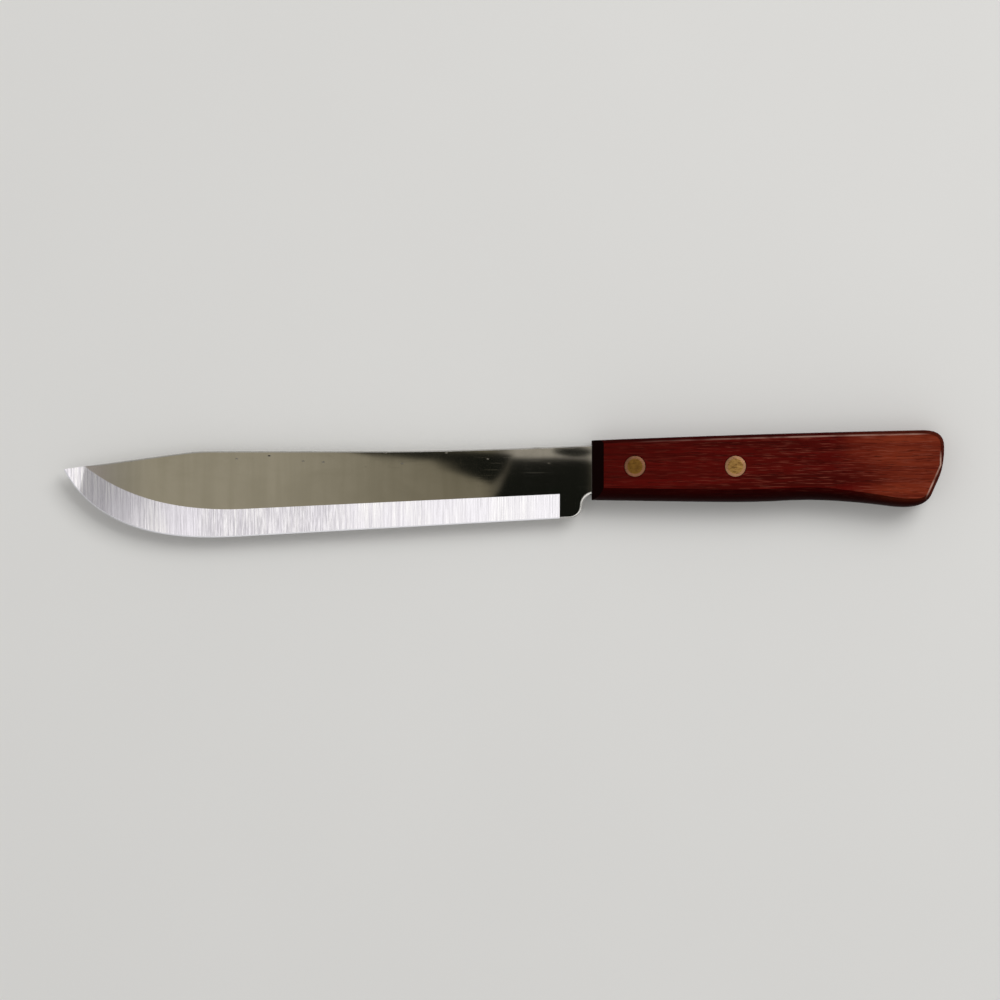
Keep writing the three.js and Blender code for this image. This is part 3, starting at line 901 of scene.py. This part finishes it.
def spine_steel():
    """Stamped and dressed border of the blank, brushed lengthwise."""
    s = Shader("spine_steel", Metallic=1.0)
    brush = s.noise((60, 3000, 2600), detail=3.0, rough=0.65)
    stain = s.noise((120, 180, 180), offset=(4, 1, 7), detail=4.0)
    tone = s.mix(brush, BRUSHED_DULL, BRUSHED_BRIGHT)
    s.set("Base Color", s.mix(s.fade(stain, 0.62, 0.8, 0.0, 0.5), tone, STAINED))
    s.set("Roughness", s.fade(brush, 0.2, 0.8, 0.12, 0.26))
    s.set("Normal", s.bump(brush, 4e-6))
    return s.material


def handle_wood(name, shift):
    """Dense red hardwood: streaks and pores along the grain, painted light making the face lighter towards
    the butt, painted shade on the rolled border and the front, painted highlights along the creases.
    """
    s = Shader(name, shift, Specular_Tint=WOOD_SHEEN)
    drift = s.noise((18, 40, 40), detail=2.0)
    streak = s.noise((16, 420, 300), offset=(2, 0, 5), detail=4.0, rough=0.6, distortion=0.3)
    fine = s.noise((60, 1900, 1900), offset=(7, 3, 1), detail=3.0, rough=0.6)
    pores = s.noise((170, 3300, 3300), offset=(1, 9, 4), detail=2.0)
    filled = s.noise((130, 3600, 3600), offset=(6, 2, 8), detail=2.0)
    # Painted light: the face goes from its shaded colours to lighter lit ones towards the butt
    along = s.total(s.axis("X"), s.fade(drift, 0.3, 0.7, *BUTT_LIGHT_DRIFT, kind="LINEAR"))
    butt_lit = s.fade(along, *BUTT_LIGHT)

    deep = s.mix(butt_lit, FRONT_SHADED_DEEP, BUTT_LIT_DEEP)
    bright = s.mix(butt_lit, FRONT_SHADED_BRIGHT, BUTT_LIT_BRIGHT)
    tone = s.mix(s.fade(streak, 0.32, 0.68), deep, bright)
    tone = s.mix(s.fade(fine, 0.4, 0.75, 0.0, 0.35), tone, s.mix(butt_lit, FRONT_SHADED_FINE, BUTT_LIT_FINE))
    pale = s.product(s.fade(filled, 0.56, 0.67), s.fade(s.axis("X"), *PALE_PORES_START, 0.1, 0.45))
    tone = s.mix(pale, tone, PALE_PORES)
    dark = s.fade(pores, 0.58, 0.68)
    tone = s.mix(s.product(dark, 0.6), tone, DARK_PORES)
    # Painted shade: the rolled border darkens, most where it turns underneath, and the front chamfer goes
    # nearly black, where they face away from the light
    rim = s.fade(s.calc("ABSOLUTE", s.facing("Z")), 0.985, 0.95)
    under = s.fade(s.facing("Y"), -0.05, -0.75, 0.55, 0.93)
    front = s.fade(s.facing("X"), -0.35, -0.6)
    tone = s.mix(s.product(rim, under), tone, BORDER_PAINTED_SHADE)
    tone = s.mix(s.product(front, 0.97), tone, FRONT_PAINTED_SHADE)
    # Painted highlight: pale lines along the upper and butt creases
    s.set("Base Color", s.mix(crease_highlights(s), tone, CREASE_HIGHLIGHT))
    s.set("Specular IOR Level", s.fade(s.calc("MAXIMUM", rim, front), 0.0, 1.0, 0.22, 0.05))
    s.set("Roughness", s.total(s.fade(fine, 0.25, 0.75, 0.40, 0.52), s.product(dark, 0.2)))
    body = s.bump(s.total(s.product(streak, 0.5), fine), 1.6e-5)
    s.set("Normal", s.bump(dark, -3.5e-5, normal=body))
    return s.material


def crease_highlights(s):
    """How much painted highlight lies along the creases of the upper edge and of the butt, where they catch
    the light.
    """
    share = s.product(s.axis("X"), 1 / TOP_REAR.x)
    crown = s.product(share, s.calc("SUBTRACT", 1.0, share), 2 * HANDLE_CROWN)
    width = s.fade(share, 0.0, 1.0, UPPER_ROUND[0], BUTT_ROUND[0], kind="LINEAR")
    top = s.total(s.product(share, HANDLE_RISE), crown, TOP_FRONT.y)
    from_top = s.calc("ABSOLUTE", s.calc("SUBTRACT", s.calc("SUBTRACT", top, width), s.axis("Y")))
    upper = s.product(s.fade(from_top, *UPPER_HIGHLIGHT), s.fade(s.axis("X"), *UPPER_HIGHLIGHT_START))
    upper = s.product(upper, s.fade(s.axis("X"), *UPPER_HIGHLIGHT_END))
    cosine, sine = math.cos(SLANT_ANGLE), math.sin(SLANT_ANGLE)
    slant = s.total(s.product(s.axis("X"), cosine), s.product(s.axis("Y"), -sine))
    slant_line = HANDLE_LENGTH * cosine + SLANT_START_DEPTH * sine
    from_butt = s.calc("SUBTRACT", HANDLE_LENGTH, s.axis("X"))
    inside = s.calc("MINIMUM", s.calc("SUBTRACT", slant_line, slant), from_butt)
    from_crease = s.calc("ABSOLUTE", s.calc("SUBTRACT", inside, BUTT_ROUND[0]))
    rear = s.product(s.fade(from_crease, *BUTT_HIGHLIGHT), s.fade(s.axis("Y"), *BUTT_HIGHLIGHT_START))
    rear = s.product(rear, s.fade(s.axis("Y"), *BUTT_HIGHLIGHT_END))
    patchy = s.fade(s.noise((110, 260, 260), offset=(4, 4, 2), detail=3.0), 0.3, 0.65, 0.2, 0.9)
    by_face = s.fade(s.calc("ABSOLUTE", s.axis("Z")), *HIGHLIGHT_BY_FACE)
    return s.product(s.calc("MAXIMUM", s.product(upper, 0.55), rear), patchy, by_face)


def rivet_brass(name, centre, bright):
    """Brass sanded flush with the wood: a pinkish rubbed rim round a tarnished, scratched yellow middle."""
    s = Shader(name, Metallic=1.0)
    spot = s.place((1, 1, 0), (-centre.x, -centre.y, 0))
    radius = s.node("VectorMath", {0: spot}, operation="LENGTH").outputs["Value"]
    rim = s.fade(radius, HEAD_RADIUS - HEAD_RIM_WIDTH, HEAD_RADIUS - 0.7 * HEAD_RIM_WIDTH)
    scratch = s.noise((420, 2600, 900), detail=3.0, rough=0.65)
    tarnish = s.noise((620, 900, 620), offset=(3, 1, 6), detail=4.0, rough=0.6)
    dull = s.mix(scratch, *BRASS_DULL)
    clean = s.mix(scratch, *BRASS_CLEAN)
    middle = s.mix(bright, dull, clean)
    middle = s.mix(s.fade(tarnish, 0.45, 0.65, 0.0, 0.7), middle, BRASS_TARNISH)
    edge = s.mix(bright, *BRASS_RIM)
    edge = s.mix(s.fade(tarnish, 0.5, 0.7, 0.0, 0.4), edge, RIM_TARNISH)
    s.set("Base Color", s.mix(rim, middle, edge))
    s.set("Roughness", s.fade(scratch, 0.25, 0.75, 0.24, 0.42))
    s.set("Normal", s.bump(scratch, 5e-6))
    return s.material


# Studio

FLOOR_SIZE = 24.0
LENS = 150.0
SENSOR = 36.0
PHOTO_SIDE = 1000
MM_PER_PIXEL = 0.38  # halfway between the heights of the blade and of the handle's face
PHOTO_HANDLE_FRONT = 592  # pixel column of the handle's front
PHOTO_SPINE = 451  # pixel row of the straight spine
ROOM_LIGHT = 0.45
FLOOR_PAPER = (srgb(228, 227, 224), srgb(232, 231, 228))

# What the polished flat mirrors overhead, placed by the photograph's pixels. A dark shape lies to the right
# of each of its lines, which run from one pixel to another and are blurred over a number of pixels.
WEDGE_TOP = ((440, 450), (515, 457.5), 1.5)
WEDGE_RIGHT = ((514, 457), (490, 484), 3.0)
WEDGE_LINES = [WEDGE_TOP, ((487, 480), (440, 462.2), 3.0), WEDGE_RIGHT]
SLIVER_LINES = [WEDGE_TOP, ((425, 458.8), (380, 454.3), 1.5), WEDGE_RIGHT]
HEEL_LINES = [
    ((496.5, 493), (510, 465), 3.0),
    ((500, 461), (600, 458), 2.5),
    ((590, 440), (591, 520), 4.0),
]
OVAL_MIDDLE = (573, 452)
OVAL_RADII = (18, 4.8)
OVAL_FADE = (1.7, 0.8)  # shares of its radii, squared
PANEL_TIP_COLUMNS = (90, 160)  # where each tone of the panel gives way to the next
PANEL_HEEL_COLUMNS = (240, 480)
PANEL_STREAK_COLUMNS = (480, 505)
PANEL_HANDLE_COLUMNS = (490, 520)
PANEL_HANDLE_ROWS = (464, 458)
PANEL_REACH = (620, 300)  # half its width and height
PANEL_FADE = (1.2, 0.8)  # shares of its reach, squared
PANEL_HEIGHTS = (0.2, 0.4)  # how steeply upwards a direction points where the panel sets in
LEAST_HEIGHT = 0.05  # flatter directions than this count as this steep
PANEL_AT_TIP = (0.35, 0.33, 0.29, 1)
PANEL_MIDDLE = (0.43, 0.395, 0.31, 1)
PANEL_NEAR_HEEL = (0.24, 0.215, 0.155, 1)
PANEL_STREAK = (0.085, 0.077, 0.06, 1)
PANEL_BY_HANDLE = (0.44, 0.41, 0.36, 1)
PANEL_DARK = (0.0105, 0.0115, 0.009, 1)

# Each light's place, width and height, and brightness
LIGHTS = {
    "key_light": ((1.1, 1.2, 1.9), (1.5, 1.5), 4.3),
    "bevel_light": ((0.17, -0.6, 2.3), (1.24, 0.9), 0.8),
    "point_light": ((-1.2, -0.3, 2.3), (0.46, 0.9), 0.9),
}


def make_floor():
    """A wide sheet of plain pale paper."""
    half = FLOOR_SIZE / 2
    mesh = bpy.data.meshes.new("floor")
    corners = [(-half, -half, 0), (half, -half, 0), (half, half, 0), (-half, half, 0)]
    mesh.from_pydata(corners, [], [(0, 1, 2, 3)])
    s = Shader("floor_paper", Roughness=0.8, Specular_IOR_Level=0.2)
    s.set("Base Color", s.mix(s.noise((9, 9, 9), detail=3.0), *FLOOR_PAPER))
    mesh.materials.append(s.material)
    floor = bpy.data.objects.new("floor", mesh)
    bpy.context.scene.collection.objects.link(floor)


def make_camera():
    """Straight above the blade, framed so that a pixel of the photograph is a pixel here."""
    middle = PHOTO_SIDE / 2
    data = bpy.data.cameras.new("camera")
    data.lens = LENS
    data.sensor_width = SENSOR
    camera = bpy.data.objects.new("camera", data)
    camera.location = ORIGIN + Vector((
        (middle - PHOTO_HANDLE_FRONT) * MM_PER_PIXEL * MM,
        (PHOTO_SPINE - middle) * MM_PER_PIXEL * MM,
        SCALE / 2 + PHOTO_SIDE * MM_PER_PIXEL * MM * LENS / SENSOR,
    ))
    bpy.context.scene.collection.objects.link(camera)
    bpy.context.scene.camera = camera


def soft_light(name, place, size, radiance):
    """A rectangular soft light of a given brightness, turned towards the knife."""
    data = bpy.data.lights.new(name, "AREA")
    data.shape = "RECTANGLE"
    data.size, data.size_y = size
    data.energy = radiance * math.pi * size[0] * size[1]
    light = bpy.data.objects.new(name, data)
    light.location = place
    light.rotation_mode = "QUATERNION"
    light.rotation_quaternion = (-Vector(place)).to_track_quat("-Z", "Y")
    bpy.context.scene.collection.objects.link(light)


def make_room():
    """An even pale room, with what the polished flat mirrors overhead: a beige panel with dark shapes."""
    world = bpy.data.worlds.new("room")
    bpy.context.scene.world = world
    world.use_nodes = True
    n = Nodes(world.node_tree)
    way = n.node("SeparateXYZ", {0: n.node("TexCoord", {}).outputs["Generated"]}).outputs
    height = n.calc("MAXIMUM", way["Z"], LEAST_HEIGHT)
    per_pixel = SENSOR / LENS / PHOTO_SIDE
    middle = PHOTO_SIDE / 2
    # The pixel column and row at which a flat mirror under the camera shows each direction.
    column = n.total(n.calc("DIVIDE", n.calc("DIVIDE", way["X"], height), per_pixel), middle)
    row = n.calc("SUBTRACT", middle, n.calc("DIVIDE", n.calc("DIVIDE", way["Y"], height), per_pixel))

    def past(a, b, soft):
        """Nothing to the left of the line from pixel a to pixel b, all to its right."""
        along = at(b[0] - a[0], b[1] - a[1]).normalized()
        side = n.calc("SUBTRACT", n.product(row, along.x), n.product(column, along.y))
        return n.fade(n.calc("SUBTRACT", side, a[1] * along.x - a[0] * along.y), -soft, soft)

    def ellipse(centre, radii, outer, inner):
        """All inside an ellipse of pixels, fading to nothing outside it."""
        across = n.calc("DIVIDE", n.calc("SUBTRACT", column, centre[0]), radii[0])
        down = n.calc("DIVIDE", n.calc("SUBTRACT", row, centre[1]), radii[1])
        return n.fade(n.total(n.product(across, across), n.product(down, down)), outer, inner)

    dark = ellipse(OVAL_MIDDLE, OVAL_RADII, *OVAL_FADE)
    for lines in (WEDGE_LINES, SLIVER_LINES, HEEL_LINES):
        dark = n.calc("MAXIMUM", dark, n.product(*[past(*line) for line in lines]))
    panel = n.mix(n.fade(column, *PANEL_TIP_COLUMNS), PANEL_AT_TIP, PANEL_MIDDLE)
    panel = n.mix(n.fade(column, *PANEL_HEEL_COLUMNS), panel, PANEL_NEAR_HEEL)
    panel = n.mix(n.fade(column, *PANEL_STREAK_COLUMNS), panel, PANEL_STREAK)
    pale_end = n.product(n.fade(column, *PANEL_HANDLE_COLUMNS), n.fade(row, *PANEL_HANDLE_ROWS))
    panel = n.mix(pale_end, panel, PANEL_BY_HANDLE)
    panel = n.mix(dark, panel, PANEL_DARK)
    reach = ellipse((middle, middle), PANEL_REACH, *PANEL_FADE)
    overhead = n.product(reach, n.fade(way["Z"], *PANEL_HEIGHTS))
    room = (ROOM_LIGHT, ROOM_LIGHT, ROOM_LIGHT, 1)
    n.feed(n.tree.nodes["Background"].inputs["Color"], n.mix(overhead, room, panel))


steel = [polished_steel(), spine_steel(), ground_steel(), honed_steel()]
piece("blade_steel", blade_mesh(), ["blade"], steel)
scale_piece("left_scale", 1, handle_wood("left_wood", (0, 0, 0)))
scale_piece("right_scale", -1, handle_wood("right_wood", RIGHT_GRAIN_SHIFT))
for end_name, rivet_centre, shine in zip(("front", "rear"), RIVETS, RIVET_SHINE):
    rivet_pieces(end_name, rivet_centre, rivet_brass(f"{end_name}_rivet_brass", rivet_centre, shine))

make_floor()
make_camera()
make_room()
for light_name, (light_place, light_size, light_radiance) in LIGHTS.items():
    soft_light(light_name, light_place, light_size, light_radiance)
bpy.context.scene.view_settings.view_transform = "Standard"
